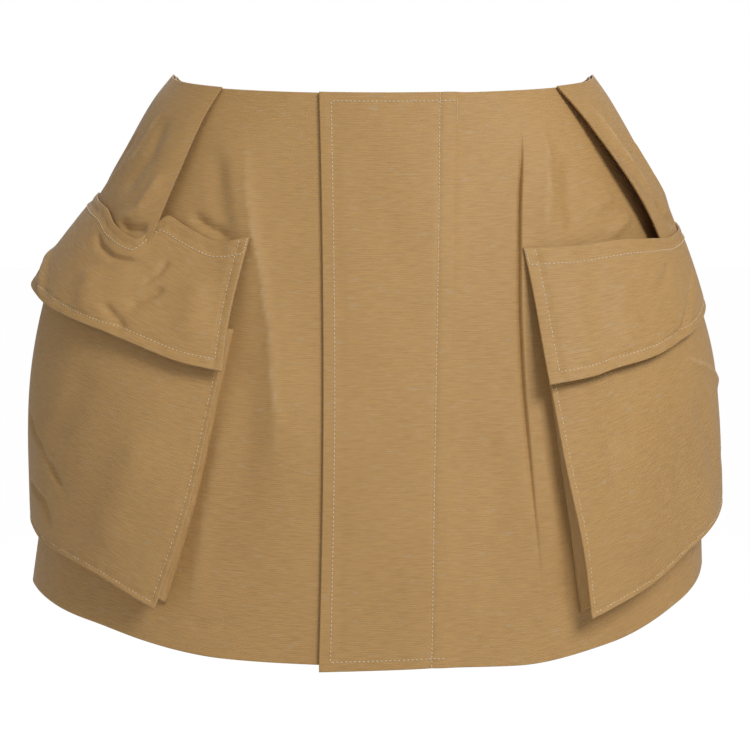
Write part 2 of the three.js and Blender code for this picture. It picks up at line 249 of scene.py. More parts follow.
# Each crease runs through a few (angle, level) places. Depth is millimetres out of the surface,
# and painted_highlight is how much a painted highlight lightens the cloth along it.
CREASES = {
    "front_right": [
        {"path": [(-34, 0.06), (-28, 0.20), (-22.5, 0.32), (-19.5, 0.42), (-17.5, 0.56), (-17.5, 0.68)],
         "width": 1.6, "depth": 1.0, "painted_highlight": 0.35},
        {"path": [(-40, 0.10), (-33, 0.22), (-27, 0.33)], "width": 6, "depth": -1.6, "painted_highlight": 0},
        {"path": [(-41.5, 0.225), (-36, 0.245), (-30.5, 0.262)], "width": 2.2, "depth": -2.6, "painted_highlight": 0},
        {"path": [(-24, 0.30), (-22, 0.45), (-22, 0.62), (-24, 0.80)], "width": 7, "depth": -1.4, "painted_highlight": 0},
        {"path": [(-26, 0.55), (-29, 0.75), (-30, 0.93)], "width": 3, "depth": 1.0, "painted_highlight": 0.2},
        {"path": [(-22, 0.93), (-27, 0.945), (-32, 0.95)], "width": 3, "depth": -0.6, "painted_highlight": 0},
    ],
    "front_left": [
        {"path": [(41, 0.06), (36, 0.16), (31, 0.27)], "width": 3, "depth": 1.0, "painted_highlight": 0.25},
        {"path": [(54.5, 0.205), (50, 0.215), (45.5, 0.225)], "width": 3, "depth": 1.8, "painted_highlight": 0.1},
        {"path": [(59, 0.245), (53, 0.262), (47.5, 0.278)], "width": 3, "depth": 1.6, "painted_highlight": 0.1},
        {"path": [(44, 0.12), (40, 0.20), (38, 0.27)], "width": 5, "depth": -1.5, "painted_highlight": 0},
        {"path": [(18, 0.55), (19, 0.75), (17, 0.93)], "width": 6, "depth": -1.0, "painted_highlight": 0},
        {"path": [(29, 0.60), (30.5, 0.78), (31, 0.96)], "width": 3.5, "depth": -1.2, "painted_highlight": 0},
    ],
    "back": [
        {"path": [(152, 0.30), (158, 0.55), (160, 0.80)], "width": 5, "depth": 1.1, "painted_highlight": 0.2},
        {"path": [(206, 0.35), (202, 0.60), (203, 0.85)], "width": 4, "depth": 1.2, "painted_highlight": 0.3},
        {"path": [(176, 0.45), (181, 0.70), (180, 0.95)], "width": 8, "depth": -1.4, "painted_highlight": 0},
        {"path": [(122, 0.20), (128, 0.32), (131, 0.45)], "width": 3, "depth": -1.2, "painted_highlight": 0},
        {"path": [(236, 0.18), (230, 0.30), (226, 0.46)], "width": 3, "depth": -1.2, "painted_highlight": 0},
    ],
    "hip_pleat_right": [
        {"path": [(-64, 0.03), (-67, 0.15), (-78, 0.24)], "width": 1.6, "depth": 1.0, "painted_highlight": 0.8},
        {"path": [(-60, 0.06), (-58, 0.15), (-62, 0.23)], "width": 7, "depth": -1.8, "painted_highlight": 0},
        {"path": [(-50, 0.16), (-53, 0.24), (-60, 0.28)], "width": 4, "depth": 1.6, "painted_highlight": 0.2},
        {"path": [(-48, 0.27), (-54, 0.275), (-57, 0.26)], "width": 2.4, "depth": -2.6, "painted_highlight": 0},
        {"path": [(-74, 0.10), (-80, 0.18), (-88, 0.24)], "width": 4, "depth": -1.2, "painted_highlight": 0},
    ],
    "hip_pleat_left": [
        {"path": [(58, 0.03), (62, 0.12), (68, 0.22)], "width": 1.8, "depth": 1.0, "painted_highlight": 0.6},
        {"path": [(55, 0.06), (60, 0.15), (66, 0.24)], "width": 6, "depth": -1.4, "painted_highlight": 0},
        {"path": [(72, 0.10), (76, 0.20), (84, 0.28)], "width": 4, "depth": 1.2, "painted_highlight": 0.2},
        {"path": [(66, 0.24), (70, 0.28), (78, 0.30)], "width": 3, "depth": -2.0, "painted_highlight": 0},
    ],
    "pocket_flap_right": [
        {"path": [(-62.5, 0.295), (-58, 0.318), (-53, 0.332), (-45.5, 0.332)], "width": 2.0,
         "depth": -2.2, "painted_highlight": 0.2},
        {"path": [(-46, 0.415), (-43, 0.392), (-39.5, 0.366)], "width": 2.4, "depth": -2.0, "painted_highlight": 0},
        {"path": [(-51, 0.410), (-48, 0.430), (-44, 0.455)], "width": 2.4, "depth": -1.8, "painted_highlight": 0},
        {"path": [(-84, 0.350), (-76, 0.395), (-68, 0.440)], "width": 2.0, "depth": 2.0, "painted_highlight": 0.5},
        {"path": [(-41, 0.315), (-42.5, 0.345), (-45, 0.370)], "width": 1.8, "depth": -1.4, "painted_highlight": 0.1},
        {"path": [(-34, 0.33), (-33, 0.40), (-32, 0.46)], "width": 7, "depth": 1.6, "painted_highlight": 0},
        {"path": [(-57, 0.35), (-55, 0.40), (-52, 0.44)], "width": 7, "depth": 1.8, "painted_highlight": 0},
    ],
    "pocket_flap_left": [
        {"path": [(77, 0.375), (68, 0.420), (58, 0.472), (51, 0.490)], "width": 2.2, "depth": -2.0,
         "painted_highlight": 0.2},
        {"path": [(45, 0.34), (44, 0.42), (43, 0.49)], "width": 8, "depth": 1.6, "painted_highlight": 0},
        {"path": [(62, 0.345), (58, 0.375), (52, 0.40)], "width": 3, "depth": -1.0, "painted_highlight": 0},
    ],
    "pocket_face_right": [
        {"path": [(-78, 0.645), (-65, 0.695), (-54.5, 0.775)], "width": 2.6, "depth": -2.4, "painted_highlight": 0.1},
        {"path": [(-76, 0.785), (-63, 0.800), (-59, 0.850)], "width": 2.4, "depth": -2.0, "painted_highlight": 0.1},
        {"path": [(-70, 0.66), (-60, 0.73)], "width": 4, "depth": 1.4, "painted_highlight": 0.2},
        {"path": [(-38, 0.60), (-42, 0.75), (-46, 0.87)], "width": 9, "depth": 1.8, "painted_highlight": 0},
        {"path": [(-52, 0.52), (-56, 0.62), (-60, 0.70)], "width": 8, "depth": -1.4, "painted_highlight": 0},
    ],
    "pocket_face_left": [
        {"path": [(59, 0.525), (70, 0.575), (80.5, 0.640)], "width": 2.4, "depth": 1.8, "painted_highlight": 0.5},
        {"path": [(60, 0.60), (66, 0.70), (70, 0.82)], "width": 6, "depth": -1.4, "painted_highlight": 0},
        {"path": [(40, 0.62), (42, 0.75), (45, 0.87)], "width": 9, "depth": 1.6, "painted_highlight": 0},
        {"path": [(76, 0.70), (78, 0.77), (84, 0.82)], "width": 3, "depth": -1.6, "painted_highlight": 0},
    ],
}


CREASE_DEEPENED = 1.35  # on every crease alike, because the twill is stiff
CREASE_FADE = 0.25      # share of a crease over which each end dies away
# Width, in millimetres, of the painted highlight along a crease.
HIGHLIGHT_WIDTH = 0.9


def along_path(path, x, y):
    """Distance to a path and how far along it, from 0 to 1, for every (x, y)."""
    points = np.array(path, float) * [MM_PER_DEGREE, LENGTH]
    lengths = np.linalg.norm(np.diff(points, axis=0), axis=1)
    starts = np.concatenate([[0], np.cumsum(lengths)[:-1]])
    best = np.full(x.shape, 1e9)
    place = np.zeros(x.shape)
    for start, end, length, before in zip(points[:-1], points[1:], lengths, starts):
        step = (end - start) / length
        t = np.clip((x - start[0]) * step[0] + (y - start[1]) * step[1], 0, length)
        distance = np.hypot(x - start[0] - t * step[0], y - start[1] - t * step[1])
        nearer = distance < best
        best = np.where(nearer, distance, best)
        place = np.where(nearer, (before + t) / lengths.sum(), place)
    return best, place


def creased(piece, angle, level):
    """(relief in millimetres, painted highlight) of a piece's creases."""
    x = angle * MM_PER_DEGREE
    y = level * LENGTH
    relief = np.zeros(x.shape)
    painted_highlight = np.zeros(x.shape)
    for crease in CREASES.get(piece, []):
        distance, place = along_path(crease["path"], x, y)
        fade = smoothstep(place, 0, CREASE_FADE) * (1 - smoothstep(place, 1 - CREASE_FADE, 1))
        relief += CREASE_DEEPENED * crease["depth"] * np.exp(-(distance / crease["width"]) ** 2) * fade
        # The painted highlight is strongest on the crease's line.
        painted_highlight = np.maximum(painted_highlight, crease["painted_highlight"] * np.exp(-(distance / HIGHLIGHT_WIDTH) ** 2) * fade)
    return relief, painted_highlight


# ---- Shells ------------------------------------------------------------------------------------

RIM_ROLL = 0.25         # how far a rim's outer corner is drawn in
END_OFFSETS = (0.35, 0.9, 1.8)
MARK_OFFSETS = (-2.4, -1.4, -0.8, -0.3, 0, 0.4, 0.9, 1.6, 2.6)
LEAST_GAP = 0.12        # closer grid lines are dropped


def spaced(length, step, marks=()):
    """Positions from 0 to 1 about a step apart, closer at both ends and at each mark."""
    positions = list(np.linspace(0, 1, max(3, round(length / step) + 1)))
    for offset in END_OFFSETS:
        positions += [offset / length, 1 - offset / length]
    for mark in marks:
        positions += [mark + offset / length for offset in MARK_OFFSETS]
    positions = np.unique(np.clip(np.round(positions, 5), 0, 1))
    keep = np.concatenate([[True], np.diff(positions) > LEAST_GAP / length])
    return positions[keep]


def grid_normals(points):
    across = np.gradient(points, axis=1)
    down = np.gradient(points, axis=0)
    normal = np.cross(down, across)
    return normal / np.maximum(np.linalg.norm(normal, axis=-1, keepdims=True), 1e-9)


def shell(name, points, material, painted_highlight=None, thickness=CLOTH):
    """A wall of cloth behind a grid of points, in millimetres, with a rounded rim."""
    rows, columns = points.shape[:2]
    normals = grid_normals(points)
    rolled = points.copy()
    rolled[0] -= normals[0] * RIM_ROLL
    rolled[-1] -= normals[-1] * RIM_ROLL
    rolled[:, 0] -= normals[:, 0] * RIM_ROLL
    rolled[:, -1] -= normals[:, -1] * RIM_ROLL
    inner = points - normals * thickness
    vertices = np.concatenate([rolled.reshape(-1, 3), inner.reshape(-1, 3)]) * MM
    index = np.arange(rows * columns).reshape(rows, columns)
    a, b = index[:-1, :-1], index[:-1, 1:]
    c, d = index[1:, :-1], index[1:, 1:]
    outer_faces = np.stack([a, c, d, b], axis=-1).reshape(-1, 4)
    inner_faces = outer_faces[:, ::-1] + rows * columns
    rim = np.concatenate([index[:-1, 0], index[-1, :-1], index[:0:-1, -1], index[0, :0:-1]])
    ahead = np.roll(rim, -1)
    layer = rows * columns
    rim_faces = np.stack([ahead, rim, rim + layer, ahead + layer], axis=-1)
    faces = np.concatenate([outer_faces, inner_faces, rim_faces])

    mesh = bpy.data.meshes.new(name)
    mesh.from_pydata(vertices.tolist(), [], faces.tolist())
    mesh.polygons.foreach_set("use_smooth", [True] * len(faces))

    # Lengths along the cloth, in metres, so that the weave keeps one size everywhere.
    steps = np.linalg.norm(np.diff(points, axis=1), axis=-1)
    along = np.concatenate([np.zeros((rows, 1)), np.cumsum(steps, axis=1)], axis=1)
    along -= along[:, columns // 2][:, None]
    drops = np.linalg.norm(np.diff(points[:, columns // 2], axis=0), axis=-1)
    fall = np.concatenate([[0], np.cumsum(drops)])[:, None] * np.ones((1, columns))
    flat = np.stack([along, -fall], axis=-1).reshape(-1, 2) * MM
    flat = np.concatenate([flat, flat])
    layer_uv = mesh.uv_layers.new(name="weave")
    corners = np.zeros(len(mesh.loops), dtype=np.int32)
    mesh.loops.foreach_get("vertex_index", corners)
    layer_uv.data.foreach_set("uv", flat[corners].ravel())

    # Strength of the painted highlight along the creases at each point; the inner layer gets none.
    attribute = mesh.attributes.new("painted_highlight", "FLOAT", "POINT")
    values = np.zeros(rows * columns) if painted_highlight is None else painted_highlight.ravel()
    attribute.data.foreach_set("value", np.concatenate([values, np.zeros(rows * columns)]))
    mesh.update()

    piece = bpy.data.objects.new(name, mesh)
    bpy.context.scene.collection.objects.link(piece)
    mesh.materials.append(material)
    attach(piece, BODY)
    return piece


def cloth_piece(name, place, columns, rows, material, thickness=CLOTH):
    """A shell from place(u, v) = (angle, level, lift), with the creases of its name."""
    u, v = np.meshgrid(columns, rows)
    angle, level, lift = np.broadcast_arrays(*place(u, v))
    relief, painted_highlight = creased(name, angle, level)
    piece = shell(name, skirt_point(angle, level, lift + relief), material, painted_highlight, thickness)
    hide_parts(name)
    return piece


# ---- Panels ------------------------------------------------------------------------------------

def fly_edge_x(level):
    return FLY["edge"] + FLY["edge_bow"] * np.sin(np.pi * np.clip(level, 0, 1))


def front_right_place(u, v):
    end = angle_at_x(np.full(v.shape, FLY["underlap"]), v)
    return lerp(-SIDE_SEAM, end, u), v, np.zeros(u.shape)


# Stations across the left front: free edge, facing's stitches, facing's ridge, tuck, side seam.
LEFT_STATIONS = [0.0, 0.22, 0.25, 0.40, 1.0]


def left_station_angles(v):
    stitch = lerp(FLY["stitch_top"], FLY["stitch_low"], v)
    ridge = lerp(FLY["ridge_top"], FLY["ridge_low"], v)
    return [
        angle_at_x(fly_edge_x(v), v),
        angle_at_x(stitch, v),
        angle_at_x(ridge, v),
        tuck_angle(v),
        np.full(v.shape, SIDE_SEAM),
    ]


def front_left_place(u, v):
    angles = left_station_angles(v)
    angle = angles[0]
    for low, high, before, after in zip(LEFT_STATIONS[:-1], LEFT_STATIONS[1:], angles[:-1], angles[1:]):
        share = np.clip((u - low) / (high - low), 0, 1)
        angle = np.where(u > low, lerp(before, after, share), angle)
    past_tuck = MM_PER_DEGREE * (angle - angles[3])
    step = TUCK_STEP
    strength = smoothstep(v, step["start"], step["start"] + step["full_after"])
    strength = strength * (1 - smoothstep(v, step["end"] - step["fading_before"], step["end"]))
    rise = smoothstep(past_tuck, step["rise_from"], step["rise_to"])
    rise = rise * np.exp(-np.maximum(past_tuck, 0) / step["fall"])
    groove = np.exp(-((past_tuck - step["groove_at"]) / step["groove_width"]) ** 2)
    tuck = strength * (step["height"] * rise - step["groove"] * groove)
    relief = FLY_RELIEF
    facing_ends = (LEFT_STATIONS[1] + 0.01, LEFT_STATIONS[2] + 0.03)
    lift = FLY["lift"] * (1 - smoothstep(u, *facing_ends))
    from_ridge = MM_PER_DEGREE * (angle - angles[2])
    from_row = MM_PER_DEGREE * (angle - angles[1])
    lift = lift + relief["ridge"] * np.exp(-(from_ridge / relief["ridge_width"]) ** 2)
    lift = lift - relief["row_dip"] * np.exp(-(from_row / relief["dip_width"]) ** 2)
    from_edge_row = MM_PER_DEGREE * (angle - angles[0]) - relief["edge_row_inset"]
    lift = lift - relief["edge_row_dip"] * np.exp(-(from_edge_row / relief["dip_width"]) ** 2)
    level = v * (1 + FLY["corner_drop"] * (1 - np.clip(u / LEFT_STATIONS[1], 0, 1)))
    return angle, level, lift + tuck


def back_place(u, v):
    return lerp(SIDE_SEAM, 360 - SIDE_SEAM, u), v, np.zeros(u.shape)


# ---- Pleats, pockets and flaps -----------------------------------------------------------------

# Rows run from a piece's front edge back round the hip. The angles are the same on both sides, and
# the side's sign is put in front. "top" is the edge nearer the waist, "low" the one nearer the hem.
PLEATS = {
    "right": table("top_angle top_lift low_angle low_level low_lift belly", [
        (45.5, 2.4, 47.0, 0.315, 9.0, 1.5),
        (50.0, 2.6, 52.0, 0.33, 8.5, 3.0),
        (62.0, 2.6, 64.0, 0.33, 8.5, 2.5),
        (80.0, 2.6, 82.0, 0.32, 9.0, 2.0),
        (100.0, 1.6, 100.0, 0.32, 4.0, 0.5),
    ]),
    "left": table("top_angle top_lift low_angle low_level low_lift belly", [
        (50.0, 2.6, 63.5, 0.33, 9.0, 5.0),
        (55.0, 2.8, 67.0, 0.34, 9.0, 4.0),
        (66.0, 2.6, 75.0, 0.34, 8.5, 2.5),
        (82.0, 2.6, 87.0, 0.335, 7.0, 1.5),
        (100.0, 1.6, 100.0, 0.33, 4.0, 0.5),
    ]),
}

POCKETS = {
    "right": table("top_angle top_level top_lift low_angle low_level low_lift belly bow", [
        (26, 0.42, 9, 34.5, 0.925, 17, 0, 1),
        (40, 0.41, 11, 47, 0.895, 16, 2, 0),
        (60, 0.39, 15, 62, 0.88, 12, 3, 0),
        (80, 0.39, 17, 80, 0.87, 7, 4, 0),
        (97, 0.39, 12, 97, 0.865, 7, 1, 0),
    ]),
    "left": table("top_angle top_level top_lift low_angle low_level low_lift belly bow", [
        (28, 0.42, 9, 33.5, 0.93, 17, 0, 1),
        (40, 0.41, 11, 44, 0.91, 17, 1, 0),
        (55, 0.4, 12, 57, 0.885, 16, 2, 0),
        (75, 0.39, 8, 75, 0.87, 15, 4, 0),
        (94, 0.39, 6, 94, 0.865, 12, 3, 0),
    ]),
}

FLAPS = {
    "right": table("top_angle top_level top_lift low_angle low_level low_lift", [
        (26.0, 0.258, 3.0, 25.5, 0.497, 18),
        (32.5, 0.27, 3.0, 32, 0.492, 20),
        (40.5, 0.252, 3.0, 39, 0.48, 21),
        (46.0, 0.238, 3.5, 45, 0.468, 22),
        (50.0, 0.29, 10.5, 50, 0.458, 24),
        (57.0, 0.275, 11.5, 57, 0.45, 26),
        (66.0, 0.25, 11.0, 67, 0.44, 28),
        (80.0, 0.243, 10.5, 82, 0.425, 28),
        (96.0, 0.24, 8.5, 96, 0.415, 22),
    ]),
    "left": table("top_angle top_level top_lift low_angle low_level low_lift", [
        (27.0, 0.275, 3.0, 28, 0.517, 18),
        (38.0, 0.281, 5.0, 37, 0.508, 20),
        (48.0, 0.286, 8.0, 48, 0.502, 21),
        (58.0, 0.3, 10.5, 57, 0.49, 21),
        (68.0, 0.312, 11.0, 66, 0.485, 18),
        (80.0, 0.312, 10.0, 80, 0.47, 14),
        (94.0, 0.305, 7.5, 94, 0.46, 12),
    ]),
}


def patch_place(rows, side):
    """place(u, v) of a patch: u is 0 at its front edge and 1 at its rear one."""
    numbered = [{"top_level": 0, "belly": 0, "bow": 0, **row, "index": i} for i, row in enumerate(rows)]
    curves = {column: table_curve(numbered, "index", column) for column in numbered[0]}

    def place(u, v):
        index = u * (len(rows) - 1)
        middle = np.sin(np.pi * v)
        turn = lerp(curves["top_angle"](index), curves["low_angle"](index), v)
        turn = turn - curves["bow"](index) * middle
        level = lerp(curves["top_level"](index), curves["low_level"](index), v)
        lift = lerp(curves["top_lift"](index), curves["low_lift"](index), v)
        return side * turn, level, lift + curves["belly"](index) * middle

    return place


# How deep the cloth is drawn in along a seam, and how that depth varies along it.
SEAM_DIP = {"depth": 0.75, "width": 1.3, "pucker": 0.35, "along": 0.55, "down": 0.63}
HEM_INSET = 6.5         # a flap's stitches from its edge
FACE_INSET = 3.0        # a pocket face's stitches from its edge
FACE_DIP_INSET = 3.5    # and the dip along them


def seam_dents(place, width, height, edges, inset=HEM_INSET):
    """The same patch, drawn in a little along the stitching near its edges."""
    def dented(u, v):
        angle, level, lift = place(u, v)
        distances = {"front": u * width, "rear": (1 - u) * width, "top": v * height, "low": (1 - v) * height}
        for edge in edges:
            wave = np.sin(u * width * SEAM_DIP["along"] + v * height * SEAM_DIP["down"])
            puckers = 1 + SEAM_DIP["pucker"] * wave
            profile = np.exp(-((distances[edge] - inset) / SEAM_DIP["width"]) ** 2)
            lift = lift - SEAM_DIP["depth"] * puckers * profile
        return angle, level, lift

    return dented


# "deep" is the inward fold as a share of the pocket, and a gap keeps the strip off what it meets.
GUSSET = {"around": 60, "rows": 9, "deep": 0.022, "edge_gap": 0.004, "body_gap": 0.6, "face_gap": 0.4}


def gusset_points(place):
    """Points of the strip round a pocket's front, bottom and rear, folded inwards halfway out."""
    steps = GUSSET["around"]
    side_steps = np.linspace(0, 1, steps)
    path_u = np.concatenate([np.zeros(steps), side_steps[1:-1], np.ones(steps)])
    path_v = np.concatenate([side_steps, np.ones(steps - 2), side_steps[::-1]])
    out = np.linspace(0, 1, GUSSET["rows"])
    rows = []
    for share in out:
        fold = GUSSET["deep"] * math.sin(math.pi * share) + GUSSET["edge_gap"]
        u = np.clip(path_u, fold, 1 - fold)
        v = np.minimum(path_v, 1 - fold)
        angle, level, lift = place(u, v)
        under_face = lift - CLOTH - GUSSET["face_gap"]
        rows.append(skirt_point(angle, level, lerp(GUSSET["body_gap"], under_face, share)))
    return np.array(rows)


# ---- Stitches ----------------------------------------------------------------------------------

STITCH = {"period": 2.6, "length": 1.8, "radius": 0.36, "clear": 0.02, "sides": 6}
STITCH_FLATNESS = 0.8   # height of a stitch for its width
STITCH_PROUD = 0.6      # how high its middle stands over the cloth, in radii
STITCH_SAG = 0.9        # how far its ends go down into the cloth, in radii
STITCH_GIRTHS = [
    {"share": -0.5, "girth": 0.15},
    {"share": -0.3, "girth": 0.85},
    {"share": 0.0, "girth": 1.0},
    {"share": 0.3, "girth": 0.85},
    {"share": 0.5, "girth": 0.15},
]
HEADING_SPAN = 0.8      # a stitch's direction is taken over this far each way
BAR_TACK = {"period": 1.3, "length": 1.2, "radius": 0.26}
CORNER_WHIP = {"period": 1.5, "length": 1.3, "radius": 0.4}


class StitchMesh:
    """Collects stitches as one mesh: each is a small capsule, pointed at both ends."""

    def __init__(self):
        self.vertices = []
        self.faces = []

    def add(self, centre, direction, normal, length, radius):
        direction = direction / np.linalg.norm(direction)
        across = np.cross(normal, direction)
        across = across / np.linalg.norm(across)
        upward = np.cross(direction, across)
        first = len(self.vertices)
        sides = STITCH["sides"]
        last_band = len(STITCH_GIRTHS) - 1
        for row in STITCH_GIRTHS:
            share = row["share"]
            girth = row["girth"]
            for k in range(sides):
                turn = 2 * math.pi * k / sides
                ring_offset = across * math.cos(turn) + upward * math.sin(turn) * STITCH_FLATNESS
                sag = upward * (-STITCH_SAG * radius * (2 * abs(share)) ** 2)
                middle = centre + direction * share * length
                self.vertices.append(middle + ring_offset * radius * girth + sag)
        for band in range(last_band):
            for k in range(sides):
                a = first + band * sides + k
                b = first + band * sides + (k + 1) % sides
                self.faces.append((a, b, b + sides, a + sides))
        self.faces.append(tuple(first + k for k in reversed(range(sides))))
        self.faces.append(tuple(first + last_band * sides + k for k in range(sides)))

    def line(self, points, normals, period, length, radius):
        """A row of stitches along a dense line of points."""
        steps = np.linalg.norm(np.diff(points, axis=0), axis=1)
        along = np.concatenate([[0], np.cumsum(steps)])

        def at(place, values):
            return np.array([np.interp(place, along, values[:, axis]) for axis in range(3)])

        count = max(1, int(along[-1] / period))
        for k in range(count):
            middle = (k + 0.5) * along[-1] / count
            heading = at(middle + HEADING_SPAN, points) - at(middle - HEADING_SPAN, points)
            self.add(at(middle, points), heading, at(middle, normals), length, radius)

    def build(self, name, material):
        mesh = bpy.data.meshes.new(name)
        mesh.from_pydata((np.array(self.vertices) * MM).tolist(), [], self.faces)
        mesh.polygons.foreach_set("use_smooth", [True] * len(mesh.polygons))
        mesh.materials.append(material)
        piece = bpy.data.objects.new(name, mesh)
        bpy.context.scene.collection.objects.link(piece)
        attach(piece, BODY)
        return piece


def sewn_line(stitches, piece_name, place, start, end, samples=160, sizes=STITCH):
    """Stitches on a piece from (u, v) to (u, v), following its creases."""
    u = np.linspace(start[0], end[0], samples)
    v = np.linspace(start[1], end[1], samples)
    angle, level, lift = np.broadcast_arrays(*place(u, v))
    relief, _ = creased(piece_name, angle, level)
    height = lift + relief + STITCH["clear"] + STITCH["radius"] * STITCH_PROUD
    points = skirt_point(angle, level, height)
    normals = skirt_point(angle, level, height + 1) - points
    stitches.line(points, normals, sizes["period"], sizes["length"], sizes["radius"])


# ---- Materials ---------------------------------------------------------------------------------

TWILL = (0.432, 0.254, 0.092, 1)
TWILL_DEEP = (0.325, 0.183, 0.064, 1)
TWILL_GREY = (0.400, 0.290, 0.165, 1)
# Colour of the painted highlight along the creases.
CREASE_HIGHLIGHT = (0.640, 0.520, 0.360, 1)
THREAD = (0.640, 0.540, 0.390, 1)
THREAD_DEEP = (0.500, 0.390, 0.250, 1)

# Metres for a pitch. A tone is how much that part of the weave varies the colour.
WEAVE = {"weft_pitch": 0.0011, "twill_pitch": 0.0008, "twill_turn": 32, "bump": 0.00025}
TONES = {"weft": 0.35, "yarn": 1.6, "cloud": 0.7, "middle": 0.30}
GREY_SHARE = 0.45
# How strongly the painted highlight is mixed into the cloth's colour.
CREASE_HIGHLIGHT_SHARE = 0.6


class NodeTree:
    """Short calls for building a node material."""

    def __init__(self, name):
        self.material = bpy.data.materials.new(name)
        self.material.use_nodes = True
        self.tree = self.material.node_tree
        self.tree.nodes.clear()

    def node(self, kind, inputs=None, **settings):
        made = self.tree.nodes.new(kind)
        for key, value in settings.items():
            setattr(made, key, value)
        for key, value in (inputs or {}).items():
            if isinstance(value, bpy.types.NodeSocket):
                self.tree.links.new(value, made.inputs[key])
            else:
                made.inputs[key].default_value = value
        return made

    def math(self, operation, a, b=0.0):
        return self.node("ShaderNodeMath", {0: a, 1: b}, operation=operation).outputs[0]

    def mix(self, factor, a, b):
        made = self.node("ShaderNodeMix", data_type="RGBA")
        for socket, value in ((0, factor), (6, a), (7, b)):
            if isinstance(value, bpy.types.NodeSocket):
                self.tree.links.new(value, made.inputs[socket])
            else:
                made.inputs[socket].default_value = value
        return made.outputs[2]

    def ramp(self, value, low, high):
        return self.node("ShaderNodeMapRange", {"Value": value, "From Min": low, "From Max": high}).outputs[0]


def twill_material():
    """Stiff twill: fine ribs across the cloth, streaky yarn, grey flecks and a painted highlight along the
    creases.
    """
    nodes = NodeTree("khaki_twill")
    flat = nodes.node("ShaderNodeUVMap", uv_map="weave").outputs[0]

    def noise(scale, stretch, detail=3.0):
        mapped = nodes.node("ShaderNodeMapping", {"Vector": flat, "Scale": stretch}).outputs[0]
        inputs = {"Vector": mapped, "Scale": scale, "Detail": detail}
        return nodes.node("ShaderNodeTexNoise", inputs).outputs[0]

    def ribs(pitch, turn):
        mapped = nodes.node("ShaderNodeMapping", {"Vector": flat, "Rotation": (0, 0, turn)}).outputs[0]
        # A wave texture has one band in every 2 pi / 20 of its scaled length.
        wave_scale = 2 * math.pi / (20 * pitch)
        return nodes.node("ShaderNodeTexWave", {"Vector": mapped, "Scale": wave_scale, "Distortion": 0.6,
                                                "Detail": 1.0, "Detail Scale": 2.0},
                          bands_direction="Y").outputs[1]

    weft = ribs(WEAVE["weft_pitch"], 0.0)
    twill = ribs(WEAVE["twill_pitch"], math.radians(WEAVE["twill_turn"]))
    yarn = noise(900.0, (0.12, 1.0, 1.0))
    cloud = noise(14.0, (1.0, 1.0, 1.0), 4.0)
    fleck = noise(260.0, (0.45, 1.0, 1.0), 2.0)

    def varied(part, name):
        return nodes.math("MULTIPLY", nodes.math("SUBTRACT", part, 0.5), TONES[name])

    tone = nodes.math("ADD", varied(weft, "weft"), varied(yarn, "yarn"))
    tone = nodes.math("ADD", tone, varied(cloud, "cloud"))
    tone = nodes.ramp(nodes.math("SUBTRACT", TONES["middle"], tone), 0.0, 1.0)
    colour = nodes.mix(tone, TWILL, TWILL_DEEP)
    grey = nodes.math("MULTIPLY", nodes.ramp(fleck, 0.60, 0.74), GREY_SHARE)
    colour = nodes.mix(grey, colour, TWILL_GREY)
    # Painted highlight: the cloth is lightened along the creases, broken up by noise.
    painted_highlight = nodes.node("ShaderNodeAttribute", attribute_name="painted_highlight").outputs["Fac"]
    broken_highlight = nodes.math("MULTIPLY", painted_highlight, nodes.ramp(noise(120.0, (1.0, 1.0, 1.0)), 0.30, 0.65))
    colour = nodes.mix(nodes.math("MULTIPLY", broken_highlight, CREASE_HIGHLIGHT_SHARE), colour, CREASE_HIGHLIGHT)

    height = nodes.math("ADD", nodes.math("MULTIPLY", weft, 0.5), nodes.math("MULTIPLY", twill, 0.5))
    height = nodes.math("ADD", height, nodes.math("MULTIPLY", yarn, 0.8))
    relief = {"Height": height, "Strength": 0.35, "Distance": WEAVE["bump"]}
    bump = nodes.node("ShaderNodeBump", relief).outputs[0]
    shader = nodes.node("ShaderNodeBsdfPrincipled", {
        "Base Color": colour, "Roughness": 0.62, "Normal": bump,
        "Sheen Weight": 0.12, "Sheen Roughness": 0.4, "Specular IOR Level": 0.35,
    })
    nodes.node("ShaderNodeOutputMaterial", {"Surface": shader.outputs[0]})
    return nodes.material


def thread_material():
    nodes = NodeTree("sewing_thread")
    place = nodes.node("ShaderNodeTexCoord").outputs["Object"]
    uneven = nodes.node("ShaderNodeTexNoise", {"Vector": place, "Scale": 700.0}).outputs[0]
    colour = nodes.mix(uneven, THREAD, THREAD_DEEP)
    bump = nodes.node("ShaderNodeBump", {"Height": uneven, "Strength": 0.3, "Distance": 0.0001}).outputs[0]
    shader = nodes.node("ShaderNodeBsdfPrincipled", {
        "Base Color": colour, "Roughness": 0.5, "Normal": bump, "Specular IOR Level": 0.4,
    })
    nodes.node("ShaderNodeOutputMaterial", {"Surface": shader.outputs[0]})
    return nodes.material


# ---- Camera, light and floor -------------------------------------------------------------------

CAMERA = {"place": (-6.5, -1600.0, -5.0), "target": (-6.5, 0.0, -192.0), "lens": 118.9, "sensor": 36.0}
FLOOR_Z = -1.0       # metres: a wearer's waist stands about this far above the floor

LAMPS = [
    {"name": "key", "place": (1.3, -1.9, 1.5), "size": 1.1, "watts": 60},
    {"name": "fill", "place": (-1.9, -1.7, 0.5), "size": 2.2, "watts": 9},
    {"name": "back", "place": (0.0, 2.2, 1.4), "size": 2.0, "watts": 24},
]


def make_camera():
    data = bpy.data.cameras.new("camera")
    data.lens = CAMERA["lens"]
    data.sensor_width = CAMERA["sensor"]
    camera = bpy.data.objects.new("camera", data)
    camera.location = Vector(CAMERA["place"]) * MM
    aim = Vector(CAMERA["target"]) * MM - camera.location
    camera.rotation_euler = aim.to_track_quat("-Z", "Y").to_euler()
    bpy.context.scene.collection.objects.link(camera)
    bpy.context.scene.camera = camera


